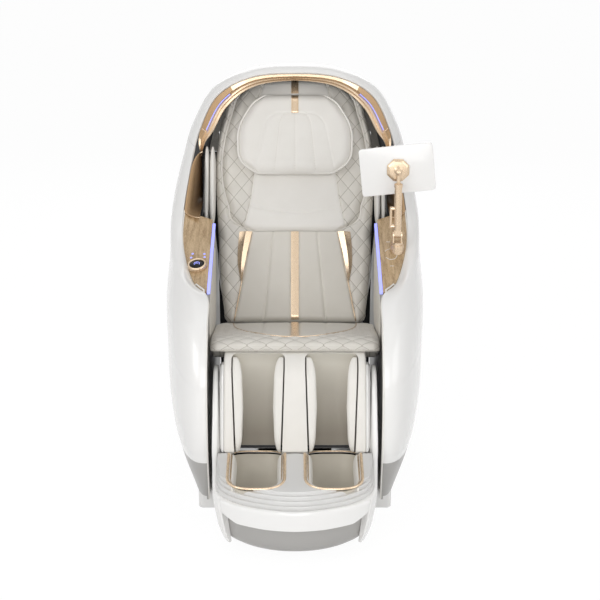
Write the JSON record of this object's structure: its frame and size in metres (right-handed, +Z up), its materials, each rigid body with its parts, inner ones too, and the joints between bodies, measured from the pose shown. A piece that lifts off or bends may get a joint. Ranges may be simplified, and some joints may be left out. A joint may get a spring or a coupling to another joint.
{
  "type": "massage chair",
  "caption": "Cocoon massage chair with reclining quilted back, lifting leg rest, oak arms and a tablet on a jointed arm",
  "frame": {"origin": "on the floor under the middle of the plinth; the plinth rests on z = 0", "axes": "+X to the right as seen from the front, -Y where the sitter's feet point, +Z up"},
  "size_m": [0.8358, 1.3898, 1.2095],
  "materials": {
    "gloss_white": "glossy moulded shell, clear coated",
    "frame_steel": "black powder coat",
    "dark_plastic": "moulded, fine texture",
    "rubber": "moulded tyre",
    "grey_gloss": "satin grey shell",
    "cream_leather": "soft grained synthetic leather, greige",
    "lamp_violet": "lit diffuser strip",
    "oak": "oak veneer, satin",
    "oak_gloss": "oak veneer, satin, with a charging ring",
    "champagne": "champagne gold plating, satin",
    "black_gloss": "gloss black button face",
    "rod_steel": "drawn steel rod",
    "pale_leather": "soft grained synthetic leather, cream",
    "roller_grey": "moulded roller, soft touch",
    "grey_light": "satin light grey shell"
  },
  "bodies": {
    "chassis": {"base_plinth": "gloss_white", "base_frame": "frame_steel", "slide_rail_left": "frame_steel", "slide_rail_right": "frame_steel", "control_box": "dark_plastic", "air_pump": "dark_plastic", "shell_left": "gloss_white", "shell_right": "gloss_white", "hood_shell": "gloss_white", "skirt_left": "grey_gloss", "skirt_right": "grey_gloss", "inner_panel_left": "cream_leather", "inner_panel_right": "cream_leather", "arm_light_left": "lamp_violet", "arm_light_right": "lamp_violet", "wood_panel_left": "oak", "wood_panel_right": "oak_gloss", "tunnel_left": "champagne", "tunnel_right": "champagne", "arm_pad_left": "cream_leather", "arm_pad_right": "cream_leather", "hood_trim": "champagne", "hood_light": "lamp_violet", "tablet_socket": "champagne"},
    "wheel_left": {"transport_wheel_left": "rubber"},
    "wheel_right": {"transport_wheel_right": "rubber"},
    "knob_ring_body": {"knob_ring": "champagne"},
    "knob_button_body": {"knob_button": "black_gloss"},
    "tablet_post_body": {"tablet_post": "champagne"},
    "tablet_link_body": {"tablet_link": "champagne"},
    "tablet_mount_body": {"tablet_mount": "champagne"},
    "tablet_body": {"tablet": "gloss_white"},
    "seat": {"seat_frame": "frame_steel", "seat_pad": "cream_leather", "back_actuator": "dark_plastic", "leg_actuator": "dark_plastic"},
    "back_rod_body": {"back_rod": "rod_steel"},
    "leg_rod_body": {"leg_rod": "rod_steel"},
    "backrest": {"back_frame": "frame_steel", "back_cover": "gloss_white", "lower_back_pad": "cream_leather", "upper_back_pad": "pale_leather"},
    "pillow": {"head_pillow": "pale_leather"},
    "carriage": {"massage_carriage": "dark_plastic"},
    "arm_left": {"massage_arm_left": "dark_plastic"},
    "arm_right": {"massage_arm_right": "dark_plastic"},
    "roller_ll": {"roller_lower_left": "roller_grey"},
    "roller_lr": {"roller_lower_right": "roller_grey"},
    "roller_ul": {"roller_upper_left": "roller_grey"},
    "roller_ur": {"roller_upper_right": "roller_grey"},
    "legrest": {"calf_frame": "cream_leather", "calf_pad_left": "cream_leather", "calf_pad_right": "cream_leather"},
    "foot": {"foot_shell": "gloss_white", "foot_deck": "grey_light", "foot_base": "grey_gloss", "foot_rim_left": "champagne", "foot_rim_right": "champagne"},
    "sole_shaft": {"sole_roller_shaft": "roller_grey"}
  },
  "joints": [
    {"name": "seat_slide", "type": "slide", "parent": "chassis", "child": "seat", "axis": [0, -1, 0], "range_m": [0, 0.1]},
    {"name": "back_recline", "type": "hinge", "parent": "seat", "child": "backrest", "pos_m": [0, 0.235, 0.385], "axis": [-1, 0, 0], "range_deg": [0, 42]},
    {"name": "back_rod_slide", "type": "slide", "parent": "seat", "child": "back_rod_body", "axis": [0, -1, 0], "range_m": [0, 0.0718]},
    {"name": "leg_lift", "type": "hinge", "parent": "seat", "child": "legrest", "pos_m": [0, -0.295, 0.415], "axis": [-1, 0, 0], "range_deg": [0, 75]},
    {"name": "leg_rod_slide", "type": "slide", "parent": "seat", "child": "leg_rod_body", "axis": [0, -1, 0], "range_m": [0, 0.122]},
    {"name": "leg_extend", "type": "slide", "parent": "legrest", "child": "foot", "axis": [0, -0.3024, -0.9532], "range_m": [0, 0.15]},
    {"name": "carriage_travel", "type": "slide", "parent": "backrest", "child": "carriage", "axis": [0, 0.4618, 0.887], "range_m": [0, 0.38]},
    {"name": "massage_rock_left", "type": "hinge", "parent": "carriage", "child": "arm_left", "pos_m": [0, 0.30888, 0.52692], "axis": [1, 0, 0], "range_deg": [-8, 8]},
    {"name": "roller_spin_lower_left", "type": "hinge", "parent": "arm_left", "child": "roller_ll", "pos_m": [0, 0.26606, 0.47932], "axis": [1, 0, 0], "continuous": true},
    {"name": "roller_spin_upper_left", "type": "hinge", "parent": "arm_left", "child": "roller_ul", "pos_m": [0, 0.32332, 0.5893], "axis": [1, 0, 0], "continuous": true},
    {"name": "massage_rock_right", "type": "hinge", "parent": "carriage", "child": "arm_right", "pos_m": [0, 0.30888, 0.52692], "axis": [1, 0, 0], "range_deg": [-8, 8]},
    {"name": "roller_spin_lower_right", "type": "hinge", "parent": "arm_right", "child": "roller_lr", "pos_m": [0, 0.26606, 0.47932], "axis": [1, 0, 0], "continuous": true},
    {"name": "roller_spin_upper_right", "type": "hinge", "parent": "arm_right", "child": "roller_ur", "pos_m": [0, 0.32332, 0.5893], "axis": [1, 0, 0], "continuous": true},
    {"name": "pillow_flip", "type": "hinge", "parent": "backrest", "child": "pillow", "pos_m": [0, 0.48916, 1.12078], "axis": [-1, 0, 0], "range_deg": [0, 30]},
    {"name": "knob_turn", "type": "hinge", "parent": "chassis", "child": "knob_ring_body", "pos_m": [-0.29712, -0.0604, 0.68582], "axis": [-0.1028, -0.3374, 0.9357], "continuous": true},
    {"name": "knob_press", "type": "slide", "parent": "knob_ring_body", "child": "knob_button_body", "axis": [0.1028, 0.3374, -0.9357], "range_m": [0, 0.0012], "stiffness_N_per_m": 900},
    {"name": "tablet_swivel", "type": "hinge", "parent": "chassis", "child": "tablet_post_body", "pos_m": [0.316, 0.02, 0.7331], "axis": [0, 0, 1], "range_deg": [-40, 45]},
    {"name": "tablet_tilt", "type": "hinge", "parent": "tablet_post_body", "child": "tablet_link_body", "pos_m": [0.316, 0.02, 0.764], "axis": [1, 0, 0], "range_deg": [-8, 12]},
    {"name": "mount_tilt", "type": "hinge", "parent": "tablet_link_body", "child": "tablet_mount_body", "pos_m": [0.316, 0.02, 0.962], "axis": [1, 0, 0], "range_deg": [-9, 18]},
    {"name": "tablet_turn", "type": "hinge", "parent": "tablet_mount_body", "child": "tablet_body", "pos_m": [0.316, 0.0425, 0.962], "axis": [0, -1, 0], "range_deg": [-90, 90]},
    {"name": "wheel_spin_left", "type": "hinge", "parent": "chassis", "child": "wheel_left", "pos_m": [-0.245, 0.405, 0.032], "axis": [1, 0, 0], "continuous": true},
    {"name": "wheel_spin_right", "type": "hinge", "parent": "chassis", "child": "wheel_right", "pos_m": [0.245, 0.405, 0.032], "axis": [1, 0, 0], "continuous": true},
    {"name": "sole_rollers_spin", "type": "hinge", "parent": "foot", "child": "sole_shaft", "pos_m": [0, -0.53, 0.14], "axis": [1, 0, 0], "continuous": true}
  ],
  "couplings": [
    {"joint": "seat_slide", "follows": "back_recline", "m_per_rad": 0.1364},
    {"joint": "back_rod_slide", "follows": "back_recline", "m_per_rad": 0.09778},
    {"joint": "leg_rod_slide", "follows": "leg_lift", "m_per_rad": 0.09301},
    {"joint": "leg_extend", "follows": "leg_lift", "m_per_rad": 0.1145}
  ]
}
